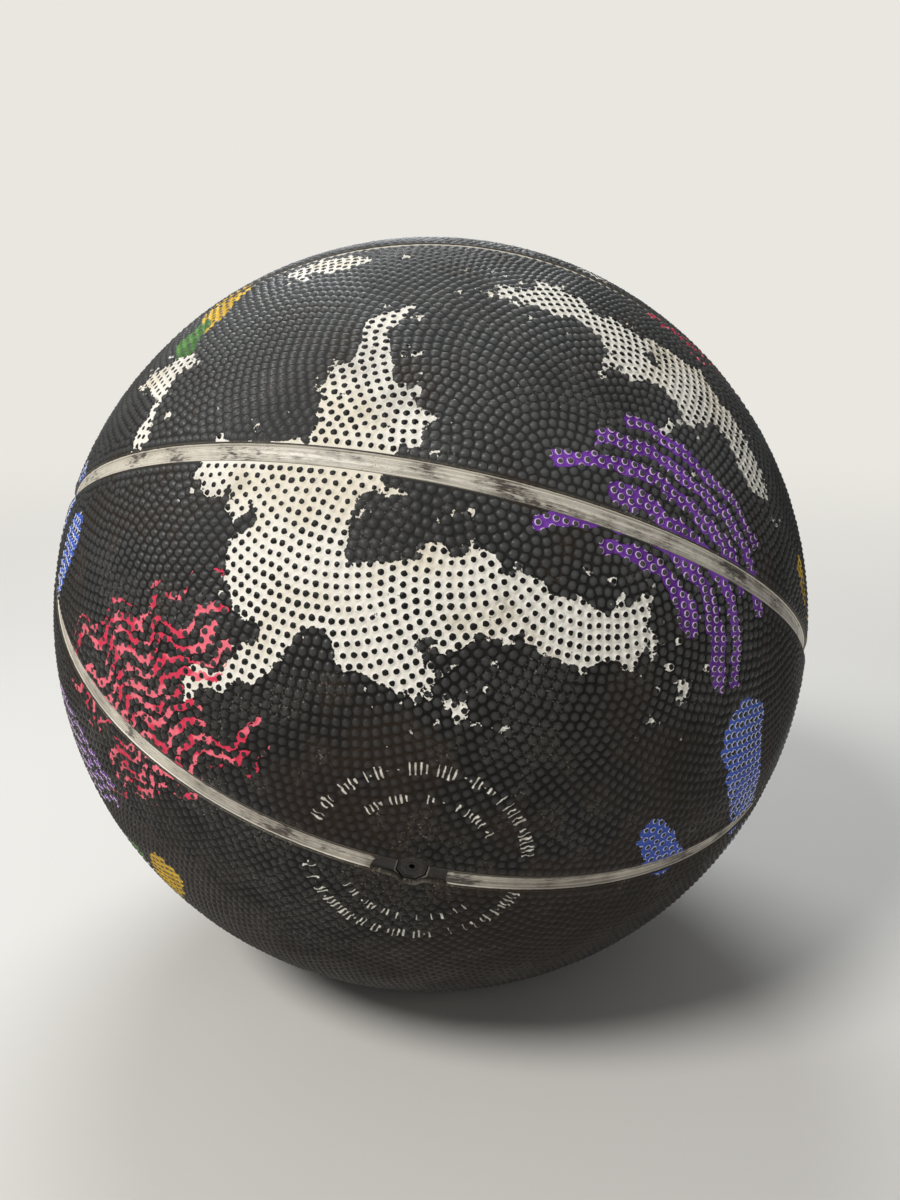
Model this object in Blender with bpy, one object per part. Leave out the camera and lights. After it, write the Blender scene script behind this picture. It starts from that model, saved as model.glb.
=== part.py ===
"""A soft, under-inflated basketball: a hollow moulded rubber ball with four sunken seam channels, and the
self-sealing plug in its valve.  It stands on the small flat spot that its own weight presses into it.

Units are metres, +Z is up, and the origin is the middle of the flat spot, on the surface it stands on.

The seams follow the usual layout of eight panels.  In the seam frame, whose Z axis points out of the front
of the ball, two great circles lie in the planes y = 0 and z = 0, and two closed loops are the lines where
an oval tube, lying along Z, would come out through the ball.  The valve is on the front loop, at its lowest
point.
"""

import math

import bmesh
import bpy
import numpy as np
from mathutils import Matrix

# The ball
BALL_RADIUS = 0.1200          # to the ground between the pebbles
WALL = 0.0030                 # rubber wall, cover and lining vulcanised into one
SAG = 0.0050                  # how far the flat spot is pressed in
SAG_BLEND = 0.0020            # half the height over which the flat spot rounds off into the ball
BALL_CELLS = 16               # cells along each side of the six patches of the outside
HOLLOW_CELLS = 10             # and of the inside

# How the ball lies
FRONT_TURN = math.radians(8.9)            # the front loop's middle faces this far to the right of -Y
FRONT_LIFT = math.radians(25.8)           # and this far up
SEAM_ROLL = math.radians(-15.7)           # turned about that middle, so the seams fall to the right

# Seam channels
CHANNEL_DEPTH = 0.0010
CHANNEL_FLOOR = 0.0040        # width of the flat floor
CHANNEL_MOUTH = 0.0048        # width at the ball's surface
CHANNEL_STEPS = 72            # stations round each channel
LOOP_REACH = math.radians(79.3)           # the loop's half length along X, seen from the ball's middle
LOOP_SPREAD = math.radians(44.9)          # and its half width along Y

# Valve: heights are along its own axis, from the ball's surface outwards
FLATS = 8                     # the plug's head and its recess are eight-sided
HEAD_RADIUS = 0.00365
HEAD_TOP = -0.00105
HEAD_UNDERSIDE = -0.00190
STEM_RADIUS = 0.00260
BULB_RADIUS = 0.00350         # swelling that keeps the plug from being blown out
BULB_HEIGHT = 0.00150
PLUG_TIP_RADIUS = 0.00160
PLUG_TIP = -0.01560
FIT_GAP = 0.00030             # clearance all round the plug
FUNNEL_RADIUS = 0.00130
FUNNEL_DEPTH = 0.00060
NEEDLE_RADIUS = 0.00070
NEEDLE_BOTTOM = -0.00950
BOSS_RADIUS = 0.01000         # where the boss grows out of the wall
BOSS_NECK_RADIUS = 0.00640
BOSS_SHOULDER = -0.00620
BOSS_END = -0.01100
VALVE_STEPS = 24

OVERCUT = 0.0020              # how far a cutter stands out of what it cuts

COVER_RUBBER = (0.022, 0.021, 0.021)
PLUG_RUBBER = (0.030, 0.028, 0.027)

MIDDLE = Matrix.Translation((0.0, 0.0, BALL_RADIUS - SAG))
SEAM_FRAME = (
    Matrix.Rotation(FRONT_TURN, 3, "Z")
    @ Matrix.Rotation(math.pi / 2 - FRONT_LIFT, 3, "X")
    @ Matrix.Rotation(SEAM_ROLL, 3, "Z")
)


def settled(points):
    """Points given from the ball's middle, once the ball has settled on its flat spot.

    A point rises by an amount that depends only on its direction, so the wall keeps its thickness: the
    round ball's height above its lowest point becomes the smooth maximum of that height and SAG.
    """
    height = BALL_RADIUS * (1 + points[:, 2] / np.linalg.norm(points, axis=1))
    blended = SAG + (height - SAG + SAG_BLEND) ** 2 / (4 * SAG_BLEND)
    lifted = np.where(height > SAG + SAG_BLEND, height, np.where(height < SAG - SAG_BLEND, SAG, blended))
    return points + np.outer(lifted - height, (0, 0, 1))


def laid(points):
    """Points of the seam frame, as they lie in the settled ball."""
    return settled(points @ np.array(SEAM_FRAME).T)


def material(name, colour, roughness):
    """A plain Principled material."""
    made = bpy.data.materials.new(name)
    made.use_nodes = True
    shader = made.node_tree.nodes["Principled BSDF"]
    shader.inputs["Base Color"].default_value = (*colour, 1.0)
    shader.inputs["Roughness"].default_value = roughness
    shader.inputs["Metallic"].default_value = 0.0
    return made


def solid(name, vertices, faces, matrix):
    """A closed mesh object with its faces turned outwards, placed by matrix."""
    mesh = bpy.data.meshes.new(name)
    mesh.from_pydata([tuple(v) for v in vertices], [], faces)
    work = bmesh.new()
    work.from_mesh(mesh)
    bmesh.ops.recalc_face_normals(work, faces=work.faces)
    bmesh.ops.triangulate(work, faces=work.faces)
    work.to_mesh(mesh)
    work.free()
    mesh.shade_smooth()
    mesh.set_sharp_from_angle(angle=math.radians(35))
    made = bpy.data.objects.new(name, mesh)
    bpy.context.scene.collection.objects.link(made)
    made.matrix_world = matrix
    return made


def combine(target, tool, operation):
    """Adds an exact Boolean to target and makes tool a hidden helper."""
    modifier = target.modifiers.new(tool.name, "BOOLEAN")
    modifier.operation = operation
    modifier.solver = "EXACT"
    modifier.object = tool
    tool.hide_render = True
    tool.display_type = "WIRE"


def ball(name, radius, cells):
    """A round solid: a cube's grid blown up into a sphere with cells of even angle, lined up with the seams."""
    work = bmesh.new()
    bmesh.ops.create_cube(work, size=2.0)
    bmesh.ops.subdivide_edges(work, edges=work.edges, cuts=cells - 1, use_grid_fill=True)
    work.verts.index_update()
    cube = np.array([v.co for v in work.verts])
    faces = [[v.index for v in f.verts] for f in work.faces]
    work.free()
    swollen = np.tan(cube * math.pi / 4)
    swollen *= radius / np.linalg.norm(swollen, axis=1, keepdims=True)
    return solid(name, laid(swollen), faces, MIDDLE)


def great_circle(first, second):
    """Directions round the great circle through two axes of the seam frame."""
    angle = np.arange(CHANNEL_STEPS)[:, None] * math.tau / CHANNEL_STEPS
    return np.cos(angle) * np.array(first) + np.sin(angle) * np.array(second)


def loop(side):
    """Directions round the loop on one side, +1 for the front one: an ellipse seen along Z."""
    angle = np.arange(CHANNEL_STEPS) * math.tau / CHANNEL_STEPS
    x = math.sin(LOOP_REACH) * np.cos(angle)
    y = math.sin(LOOP_SPREAD) * np.sin(angle)
    return np.stack([x, y, side * np.sqrt(1 - x * x - y * y)], axis=1)


def channel_cutter(name, line):
    """A closed band along line, whose section is the channel's, widening on outwards past the surface."""
    slope = (CHANNEL_MOUTH - CHANNEL_FLOOR) / 2 / CHANNEL_DEPTH
    floor = CHANNEL_FLOOR / 2
    brim = CHANNEL_MOUTH / 2 + slope * OVERCUT
    section = [(-floor, -CHANNEL_DEPTH), (floor, -CHANNEL_DEPTH), (brim, OVERCUT), (-brim, OVERCUT)]
    sideways = np.cross(line, np.roll(line, -1, axis=0) - np.roll(line, 1, axis=0))
    sideways /= np.linalg.norm(sideways, axis=1, keepdims=True)
    corners = [line * (BALL_RADIUS + up) + sideways * across for across, up in section]
    vertices = np.stack(corners, axis=1).reshape(-1, 3)
    steps, sides = len(line), len(section)
    faces = []
    for i in range(steps):
        for j in range(sides):
            here, on = i * sides, (i + 1) % steps * sides
            turn = (j + 1) % sides
            faces.append((here + j, here + turn, on + turn, on + j))
    return solid(name, laid(vertices), faces, MIDDLE)


def turned(name, profile, matrix):
    """A solid turned about Z from (radius, height, flats) stations; flats of 0 is round.

    Where a station has flats, its radius is that of the corners, and one flat faces along X.
    """
    angle = (np.arange(VALVE_STEPS) + 0.5) * math.tau / VALVE_STEPS
    rings = []
    for radius, height, flats in profile:
        reach = np.full(VALVE_STEPS, radius)
        if flats:
            half = math.pi / flats
            off_flat = (angle + half) % (2 * half) - half
            reach *= math.cos(half) / np.cos(off_flat)
        rings.append(np.stack([reach * np.cos(angle), reach * np.sin(angle), np.full(VALVE_STEPS, height)], 1))
    faces = []
    for i in range(len(profile) - 1):
        for j in range(VALVE_STEPS):
            low, high = i * VALVE_STEPS, (i + 1) * VALVE_STEPS
            turn = (j + 1) % VALVE_STEPS
            faces.append((low + j, low + turn, high + turn, high + j))
    last = (len(profile) - 1) * VALVE_STEPS
    faces.append(list(range(VALVE_STEPS)))
    faces.append(list(range(last, last + VALVE_STEPS)))
    return solid(name, np.concatenate(rings), faces, matrix)


def valve_place():
    """The valve's frame: its Z comes straight out of the ball and its X runs along the channel."""
    down, out = -math.sin(LOOP_SPREAD), math.cos(LOOP_SPREAD)
    local = Matrix(((1, 0, 0), (0, out, down), (0, -down, out)))
    place = MIDDLE @ (SEAM_FRAME @ local).to_4x4()
    return place @ Matrix.Translation((0.0, 0.0, BALL_RADIUS))


def valve_boss(place):
    """The thick lump inside the wall that holds the plug."""
    return turned(
        "valve_boss",
        [
            (BOSS_NECK_RADIUS, BOSS_END, 0),
            (BOSS_NECK_RADIUS, BOSS_SHOULDER, 0),
            (BOSS_RADIUS, -WALL, 0),
            (BOSS_RADIUS, -WALL / 2, 0),
        ],
        place,
    )


def valve_hole(place):
    """Cuts the bore through the boss and the eight-sided recess for the plug's head."""
    bore = STEM_RADIUS + FIT_GAP
    recess = HEAD_RADIUS + FIT_GAP / math.cos(math.pi / FLATS)
    return turned(
        "valve_hole",
        [
            (bore, BOSS_END - OVERCUT, 0),
            (bore, HEAD_UNDERSIDE - FIT_GAP, 0),
            (recess, HEAD_UNDERSIDE - FIT_GAP, FLATS),
            (recess, OVERCUT, FLATS),
        ],
        place,
    )


def valve_plug(place):
    """The self-sealing plug: bulb, stem and eight-sided head, with a blind hole that guides the needle."""
    bulb = BOSS_END - FIT_GAP
    return turned(
        "valve_plug",
        [
            (PLUG_TIP_RADIUS, PLUG_TIP, 0),
            (BULB_RADIUS, bulb - BULB_HEIGHT, 0),
            (BULB_RADIUS, bulb, 0),
            (STEM_RADIUS, bulb, 0),
            (STEM_RADIUS, HEAD_UNDERSIDE, 0),
            (HEAD_RADIUS, HEAD_UNDERSIDE, FLATS),
            (HEAD_RADIUS, HEAD_TOP, FLATS),
            (FUNNEL_RADIUS, HEAD_TOP, 0),
            (NEEDLE_RADIUS, HEAD_TOP - FUNNEL_DEPTH, 0),
            (NEEDLE_RADIUS, NEEDLE_BOTTOM, 0),
        ],
        place,
    )


def build():
    """Makes the two pieces and the helpers that shape them."""
    for old in list(bpy.data.objects):
        bpy.data.objects.remove(old)

    place = valve_place()
    shell = ball("ball_shell", BALL_RADIUS, BALL_CELLS)
    combine(shell, ball("hollow", BALL_RADIUS - WALL, HOLLOW_CELLS), "DIFFERENCE")
    combine(shell, valve_boss(place), "UNION")
    combine(shell, valve_hole(place), "DIFFERENCE")
    lines = {
        "middle_channel": great_circle((1, 0, 0), (0, 0, 1)),
        "side_channel": great_circle((1, 0, 0), (0, 1, 0)),
        "front_loop_channel": loop(1),
        "back_loop_channel": loop(-1),
    }
    for name, line in lines.items():
        combine(shell, channel_cutter(name, line), "DIFFERENCE")
    shell.data.materials.append(material("cover_rubber", COVER_RUBBER, 0.62))

    plug = valve_plug(place)
    plug.data.materials.append(material("plug_rubber", PLUG_RUBBER, 0.5))


build()
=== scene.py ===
"""The looks of a soft, worn, paint-splashed basketball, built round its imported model.

The ball is dressed as it is made: a carcass with the valve seat turned in it, eight pebbled cover panels
lying on the carcass, and worn paint on the floors of the channels between them.
"""

import math

import bpy
import numpy as np
from mathutils import Matrix, Vector
from mathutils.geometry import delaunay_2d_cdt


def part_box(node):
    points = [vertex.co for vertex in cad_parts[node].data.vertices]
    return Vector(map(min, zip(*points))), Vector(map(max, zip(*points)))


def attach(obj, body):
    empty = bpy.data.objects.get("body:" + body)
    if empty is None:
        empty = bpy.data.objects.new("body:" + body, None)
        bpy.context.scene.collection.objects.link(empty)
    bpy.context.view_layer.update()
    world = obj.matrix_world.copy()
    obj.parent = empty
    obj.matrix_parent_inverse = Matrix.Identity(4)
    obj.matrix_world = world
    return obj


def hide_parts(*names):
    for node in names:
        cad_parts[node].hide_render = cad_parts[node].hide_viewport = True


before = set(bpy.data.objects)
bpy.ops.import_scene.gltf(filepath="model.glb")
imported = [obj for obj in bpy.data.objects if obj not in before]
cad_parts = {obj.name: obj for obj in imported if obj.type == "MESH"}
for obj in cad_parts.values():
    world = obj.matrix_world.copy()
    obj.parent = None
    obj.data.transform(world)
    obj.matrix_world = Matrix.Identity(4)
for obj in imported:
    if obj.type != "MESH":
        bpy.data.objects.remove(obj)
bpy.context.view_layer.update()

# The ball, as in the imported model; metres
RADIUS = 0.1200               # to the ground between the pebbles
RADIUS_MM = 1000 * RADIUS     # the print is laid out, and the materials work, in mm from the ball's middle
WALL = 0.0030
SAG = 0.0050
SAG_BLEND = 0.0020
FRONT_TURN = math.radians(8.9)
FRONT_LIFT = math.radians(25.8)
SEAM_ROLL = math.radians(-15.7)
LOOP_REACH = math.radians(79.3)
LOOP_SPREAD = math.radians(44.9)
CHANNEL_DEPTH = 0.0010
CHANNEL_FLOOR = 0.0040
CHANNEL_MOUTH = 0.0048
WALL_RUN = (CHANNEL_MOUTH - CHANNEL_FLOOR) / 2     # how far a channel's wall leans out

# Pebbles
PITCH = 0.00260               # from one pebble's middle to the next
PEBBLE_HEIGHT = 0.00057
PEBBLE_UNEVEN = 0.04          # the tallest pebbles are higher by this share
PEBBLE_LOWEST = 0.86          # the lowest pebbles' share of the height
PEBBLE_FOOT = 0.470           # radii in pitches
PEBBLE_SHOULDER = 0.315
SHOULDER_HEIGHT = 0.61        # share of the pebble's height
PEBBLE_KEEP = 0.00145         # from a channel's mouth to the middles of the first row
FENCE_BACK = 0.00030          # from a panel's edge in to where its pebbled ground ends
EDGE_STEP = 0.00115           # spacing of the points round a panel's edge
EDGE_ROUNDING = 0.0005        # how far to each side a panel's edge is smoothed
# Rows down a panel's border: how far out from its edge, and how deep below the surface
BORDER_ROWS = ((-0.00012, 0.00002), (0.0, 0.00010), (0.00008, 0.00028),
               (WALL_RUN, 0.00098), (WALL_RUN, 0.00103))
BORDER_LIP_HIGHLIGHT = (0.2, 0.8, 1.0, 0.6)     # how strongly the first rows, from the fence outwards, carry the painted highlight of the lip
UNDERSIDE_DEPTH = 0.00095
CARCASS_GAP = 0.00004         # from a channel's floor down to the carcass

# Valve: heights are from the ball's surface outwards
RECESS_RADIUS = 0.00397       # to the corners of the eight-sided recess
RECESS_FLOOR = -0.00220
BORE_RADIUS = 0.00290
BOSS_RADIUS = 0.0100
BOSS_NECK_RADIUS = 0.0064
BOSS_SHOULDER = -0.0062
BOSS_END = -0.0110
HEAD_RADIUS = 0.00365
HEAD_TOP = -0.00105
HEAD_UNDERSIDE = -0.00190
STEM_RADIUS = 0.00260
BULB_RADIUS = 0.00350
BULB_HEIGHT = 0.00150
PLUG_TIP_RADIUS = 0.00160
PLUG_TIP = -0.01560
FIT_GAP = 0.00030
TURNED_ROUNDING = 0.00012     # radius of the corners of turned pieces
TURNED_STEPS = 96             # faces round a turned piece
FUNNEL_DEPTH = 0.00060
NEEDLE_RADIUS = 0.00070
NEEDLE_BOTTOM = -0.00950

# Paint in the channels.  The profiles are (across from the channel's middle, height from the ball's surface)
# in mm, for one side: along a channel they climb its wall, and where channels cross they lie flat.
PAINT_ALONG = np.array([(0.0, -0.985), (0.62, -0.99), (0.72, -0.992), (1.40, -1.0), (1.58, -0.955),
                        (1.93, -0.93), (2.19, -0.44), (2.335, -0.24)])
PAINT_CROSSING = np.array([(0.0, -0.985), (0.62, -0.99), (0.72, -0.992), (1.40, -1.0), (1.58, -0.955),
                           (1.90, -0.955), (1.95, -0.99), (1.99, -1.01)])
PAINT_UNDER = np.array([2.02, -1.028])
PAINT_STEP = 0.0030
CROSSING_FLAT = 0.0022        # from a crossing's middle to where the paint begins to climb
CLIMB = 0.0012                # over what length it climbs
PAINT_MEET = 0.0020           # a strip ends this far from the middle line
LEFT_BREAK = RECESS_RADIUS + 0.0044      # from the valve to where the paint breaks off in a step
LEFT_STEP = 0.0013            # how deep that step is
STEP_RUN = 0.0060             # over what length the strip draws back for it
RIGHT_BREAK = RECESS_RADIUS + 0.0046     # from the valve to the paint's rounded end
RIGHT_ROUNDING = 0.0006
FRONT_MARGIN = 1.0            # mm from the front loop's middle to where a painted lip shadow and a painted lit lip band replace the paint's colour
NO_MARGIN = 9.0               # wider than any strip

MIDDLE = np.array([0.0, 0.0, RADIUS - SAG])
SEAM_FRAME = np.array(
    Matrix.Rotation(FRONT_TURN, 3, "Z")
    @ Matrix.Rotation(math.pi / 2 - FRONT_LIFT, 3, "X")
    @ Matrix.Rotation(SEAM_ROLL, 3, "Z")
)
VALVE = np.array([0.0, -math.sin(LOOP_SPREAD), math.cos(LOOP_SPREAD)])      # in the seam frame
VALVE_ALONG = np.array([1.0, 0.0, 0.0])
VALVE_ACROSS = np.cross(VALVE, VALVE_ALONG)


# ---------------------------------------------------------------- where things lie

def unit(points):
    """Points scaled to length one."""
    return points / np.linalg.norm(points, axis=-1, keepdims=True)


def placed(points):
    """Points of the seam frame, as they lie in the settled ball.

    They are turned to the world, then raised by an amount that depends only on their direction: the
    height h of the round ball above its lowest point becomes the smooth maximum of h and the sag, with
    the pebbles' own height added so that their tops touch the surface the ball stands on.
    """
    points = points @ SEAM_FRAME.T
    sag = SAG + PEBBLE_HEIGHT * (1 + PEBBLE_UNEVEN)
    height = RADIUS * (1 + unit(points)[:, 2])
    blended = sag + (height - sag + SAG_BLEND) ** 2 / (4 * SAG_BLEND)
    lifted = np.where(height > sag + SAG_BLEND, height, np.where(height < sag - SAG_BLEND, sag, blended))
    return points + np.outer(lifted - height, (0, 0, 1)) + MIDDLE


def shifted(points, towards, distance):
    """Unit points moved by a distance over the ball's surface, along unit tangents."""
    angle = distance / RADIUS
    return points * np.cos(angle) + towards * np.sin(angle)


def seam_distances(points):
    """Signed distances of unit points from the middle line, the side line and the loops, and their slopes.

    For the great circles the distance is R asin(y) and R asin(z).  For the loops it is R g / |slope of g|,
    with g = ((x / a)^2 + (y / b)^2 - 1) / 2, which is exact near the line.
    """
    a, b = math.sin(LOOP_REACH), math.sin(LOOP_SPREAD)
    x, y, z = points.T
    found = []
    for axis, value in ((1, y), (2, z)):
        slope = np.zeros_like(points)
        slope[:, axis] = 1
        slope -= points * value[:, None]
        found.append((RADIUS * np.arcsin(value), unit(slope)))
    level = ((x / a) ** 2 + (y / b) ** 2 - 1) / 2
    slope = np.stack([x / a ** 2, y / b ** 2, 0 * z], 1)
    slope -= points * (slope * points).sum(1, keepdims=True)
    steep = np.maximum(np.linalg.norm(slope, axis=1), 0.2)
    found.append((RADIUS * level / steep, slope / steep[:, None]))
    return found


def loop_line(angle, side):
    """The loop's line of directions: an ellipse in x and y, seen along Z, on the front or back side."""
    x = math.sin(LOOP_REACH) * np.cos(angle)
    y = math.sin(LOOP_SPREAD) * np.sin(angle)
    return np.stack([x, y, side * np.sqrt(1 - x * x - y * y)], 1)


# ---------------------------------------------------------------- pebble layout

def near_others(points, reach, most):
    """For each point, the nearest few others within reach, as indices; its own index fills what is left.

    The points are sorted into cubes of side reach, and each looks through the 27 cubes round its own.
    """
    cell = np.floor((points + 1.1) / reach).astype(np.int64)
    span = int(2.2 / reach) + 3
    key = (cell[:, 0] * span + cell[:, 1]) * span + cell[:, 2]
    order = np.argsort(key, kind="stable")
    cubes, first, count = np.unique(key[order], return_index=True, return_counts=True)
    table = np.full((len(cubes) + 1, count.max()), -1)
    table[np.repeat(np.arange(len(cubes)), count), np.arange(len(points)) - np.repeat(first, count)] = order
    step = (-1, 0, 1)
    others = []
    for offset in [(i * span + j) * span + k for i in step for j in step for k in step]:
        at = np.minimum(np.searchsorted(cubes, key + offset), len(cubes) - 1)
        others.append(table[np.where(cubes[at] == key + offset, at, len(cubes))])
    others = np.concatenate(others, 1)
    own = np.arange(len(points))[:, None]
    gap = np.linalg.norm(points[others] - points[:, None], axis=2)
    gap[(others < 0) | (others == own) | (gap > reach)] = np.inf
    pick = np.argpartition(gap, most, axis=1)[:, :most]
    chosen = np.take_along_axis(others, pick, 1)
    return np.where(np.isinf(np.take_along_axis(gap, pick, 1)), own, chosen)


def pebble_middles():
    """Unit points of the seam frame, one for each pebble, and each one's distance to its nearest other.

    They start as an evenly spaced spiral with some jitter, and are pushed apart step by step.  The
    channels and the valve push them back, so the first rows follow the edges and the rest settles into
    patches of near-hexagonal rows with faults between them, as an engraved mould has.
    """
    rng = np.random.default_rng(12)
    total = int(4 * math.pi * RADIUS ** 2 / (math.sqrt(3) / 2 * PITCH ** 2))
    index = np.arange(total) + 0.5
    z = 1 - 2 * index / total
    turn = index * math.pi * (3 - math.sqrt(5))
    ring = np.sqrt(1 - z * z)
    points = np.stack([ring * np.cos(turn), ring * np.sin(turn), z], 1)
    pitch = PITCH / RADIUS
    points = unit(points + rng.normal(size=points.shape) * pitch * 0.17)

    mouth = CHANNEL_MOUTH / 2
    clear = np.min([np.abs(distance) for distance, _ in seam_distances(points)], axis=0)
    far = np.linalg.norm(points - VALVE, axis=1) * RADIUS
    points = points[(clear > mouth + 0.45 * PEBBLE_KEEP) & (far > RECESS_RADIUS + 0.3 * PEBBLE_KEEP)]

    # Now and then each point's neighbours are looked up anew, and the last steps are gentler
    for step in range(60):
        if step in (0, 6, 18, 40):
            others = near_others(points, 1.55 * pitch, 10)
        away = points[:, None] - points[others]
        gap = np.linalg.norm(away, axis=2)
        push = np.clip(1 - gap / (1.45 * pitch), 0, 1) ** 1.5 / np.maximum(gap, 1e-9)
        points = unit(points + (away * push[..., None]).sum(1) * pitch * (0.30 if step < 40 else 0.18))
        for distance, slope in seam_distances(points):
            short = np.clip(mouth + PEBBLE_KEEP - np.abs(distance), 0, None) * np.sign(distance)
            points = unit(points + slope * short[:, None] / RADIUS)
        off = points - VALVE
        far = np.linalg.norm(off, axis=1, keepdims=True)
        short = np.clip((RECESS_RADIUS + 0.8 * PEBBLE_KEEP) / RADIUS - far, 0, None)
        points = unit(points + off / far * short)

    others = near_others(points, 1.8 * pitch, 4)
    gap = np.linalg.norm(points[:, None] - points[others], axis=2)
    gap[others == np.arange(len(points))[:, None]] = np.inf
    return points, gap.min(1) * RADIUS


# ---------------------------------------------------------------- meshes

def mesh_object(name, vertices, quads, triangles):
    """A smooth mesh object from whole arrays: vertices, then four-cornered and three-cornered faces."""
    mesh = bpy.data.meshes.new(name)
    mesh.vertices.add(len(vertices))
    mesh.vertices.foreach_set("co", np.asarray(vertices, np.float32).ravel())
    corners = np.concatenate([quads.ravel(), triangles.ravel()]).astype(np.int32)
    starts = np.concatenate([np.arange(len(quads)) * 4, len(quads) * 4 + np.arange(len(triangles)) * 3])
    mesh.loops.add(len(corners))
    mesh.loops.foreach_set("vertex_index", corners)
    mesh.polygons.add(len(starts))
    mesh.polygons.foreach_set("loop_start", starts.astype(np.int32))
    mesh.update(calc_edges=True)
    mesh.shade_smooth()
    made = bpy.data.objects.new(name, mesh)
    bpy.context.scene.collection.objects.link(made)
    return made


def set_uv(piece, name, values):
    """Gives a piece a UV map from one pair of values for each face corner."""
    layer = piece.data.uv_layers.new(name=name)
    layer.data.foreach_set("uv", np.asarray(values, np.float32).ravel())


def set_values(piece, name, values):
    """Gives a piece one number, or three, for each vertex."""
    values = np.asarray(values, np.float32)
    kind, word = ("FLOAT", "value") if values.ndim == 1 else ("FLOAT_VECTOR", "vector")
    piece.data.attributes.new(name, kind, "POINT").data.foreach_set(word, values.ravel())


def round_and_resample(ring, spacing, radius):
    """A closed line of unit points with its corners rounded and its points evenly spaced.

    It is laid out at steps of a tenth of a millimetre, each point becomes the mean of its neighbours
    within the radius, and it is then laid out again at the spacing.
    """
    def laid_out(line, step):
        closed = np.concatenate([line, line[:1]])
        length = np.concatenate([[0], np.cumsum(np.linalg.norm(np.diff(closed, axis=0), axis=1))]) * RADIUS
        at = np.arange(round(length[-1] / step)) * length[-1] / round(length[-1] / step)
        return unit(np.stack([np.interp(at, length, closed[:, k]) for k in range(3)], 1))

    fine = 0.0001
    ring = laid_out(ring, fine)
    reach = int(radius / fine)
    total = np.cumsum(np.concatenate([ring[-reach - 1:], ring, ring[:reach]]), axis=0)
    ring = unit(total[2 * reach + 1:] - total[:-2 * reach - 1])
    return laid_out(ring, spacing)


def panel_edge(inner, up, front):
    """The closed line, anticlockwise seen from outside, where a panel meets the mouths of its channels.

    An inner panel is half of a loop: its edges are the loop and the middle line.  An outer one lies
    between a loop and the side line, with the middle line across both its ends.
    """
    half = CHANNEL_MOUTH / 2
    low = math.sin(half / RADIUS)
    rim = math.sqrt(1 - low * low)
    line = loop_line(np.linspace(0, math.pi, 4001), 1)
    outwards = unit(np.cross(np.gradient(line, axis=0), line))
    loop = shifted(line, outwards, -half if inner else half)
    loop = loop[loop[:, 1] > low]

    def beside_middle(start, end):
        turn = np.linspace(start, end, 3001)
        return np.stack([rim * np.sin(turn), np.full_like(turn, low), rim * np.cos(turn)], 1)

    right = math.atan2(loop[0, 0], loop[0, 2])
    if inner:
        ring = np.concatenate([loop, beside_middle(-right, right)])
    else:
        corner = math.acos(low / rim)
        turn = np.linspace(math.pi - math.asin(low / rim), math.asin(low / rim), 4001)
        beside_side = np.stack([rim * np.cos(turn), rim * np.sin(turn), np.full_like(turn, low)], 1)
        ring = np.concatenate([loop, beside_middle(-right, -corner), beside_side,
                               beside_middle(corner, right)])
    ring = ring * (1, up, front)
    if (np.cross(ring, np.roll(ring, -1, 0)).sum(0) * ring.mean(0)).sum() < 0:
        ring = ring[::-1]
    if up < 0 < front:
        ring = notched(ring)
    return round_and_resample(ring, EDGE_STEP, EDGE_ROUNDING)


def notched(ring):
    """A panel's edge, stepped back round the eight-sided valve recess.

    There |across| = min(flat, flat + half side - |along|), wherever that is more than the channel's own
    half width.
    """
    flat = RECESS_RADIUS * math.cos(math.pi / 8) + WALL_RUN
    half_side = RECESS_RADIUS * math.sin(math.pi / 8) + WALL_RUN / 2
    along = ring @ VALVE_ALONG * RADIUS
    across = ring @ VALVE_ACROSS * RADIUS
    near = (np.abs(along) < 2 * flat) & (ring @ VALVE > 0.9)
    wanted = np.minimum(flat, flat + half_side - np.abs(along))
    push = np.where(near, np.clip(wanted - np.abs(across), 0, None), 0) * np.sign(across)
    return unit(ring + np.outer(push / RADIUS, VALVE_ACROSS))


def flat_triangles(points, ring_start):
    """Delaunay triangles over unit points whose last ones, from ring_start on, are the closed border.

    The points are projected stereographically from opposite their middle, which keeps circles round, so
    the flat triangulation is also the one on the ball.
    """
    middle = unit(points[ring_start:].mean(0) + 1e-9)
    first = unit(np.cross(middle, (0.3, 0.1, 0.9)))
    second = np.cross(middle, first)
    flat = np.stack([points @ first, points @ second], 1) / (1 + points @ middle)[:, None]
    count = len(points)
    border = [(i, i + 1 if i + 1 < count else ring_start) for i in range(ring_start, count)]
    result = delaunay_2d_cdt([Vector(p) for p in flat.tolist()], border, [], 1, 1e-8, True)
    origin = np.array([ids[0] for ids in result[3]])
    faces = origin[np.array(result[2])]
    turning = (np.roll(faces, -1, 1) - faces).prod(1)     # above zero where one runs against the border
    return faces[(faces < ring_start).any(1) | (turning < 0)]


def pebble_corners(middles, points, faces):
    """One record for each pebble at each triangle of the layout, in turning order round the pebble.

    A record holds the pebble, its corner of the triangle, the unit tangent from the pebble's middle to the
    triangle's, how far that is, the tangent's angle, and which record follows.
    """
    count = len(middles)
    owner = faces.ravel()
    heart = np.repeat(unit(points[faces].mean(1)), 3, axis=0)
    corner = np.flatnonzero(owner < count)
    base = middles[owner[corner]]
    towards = heart[corner] - base
    reach = np.linalg.norm(towards, axis=1) * RADIUS
    towards = unit(towards - base * (towards * base).sum(1, keepdims=True))
    first = unit(np.cross(base, (0.2, 0.9, 0.1)))
    second = np.cross(base, first)
    angle = np.arctan2((towards * second).sum(1), (towards * first).sum(1))
    order = np.lexsort((angle, owner[corner]))
    corner, towards, reach, angle = (a[order] for a in (corner, towards, reach, angle))
    pebble = owner[corner]
    begins = np.searchsorted(pebble, np.arange(count))
    following = np.arange(len(corner)) + 1
    following[np.append(begins[1:], len(corner)) - 1] = begins
    return pebble, corner, towards, reach, angle, following


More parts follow.
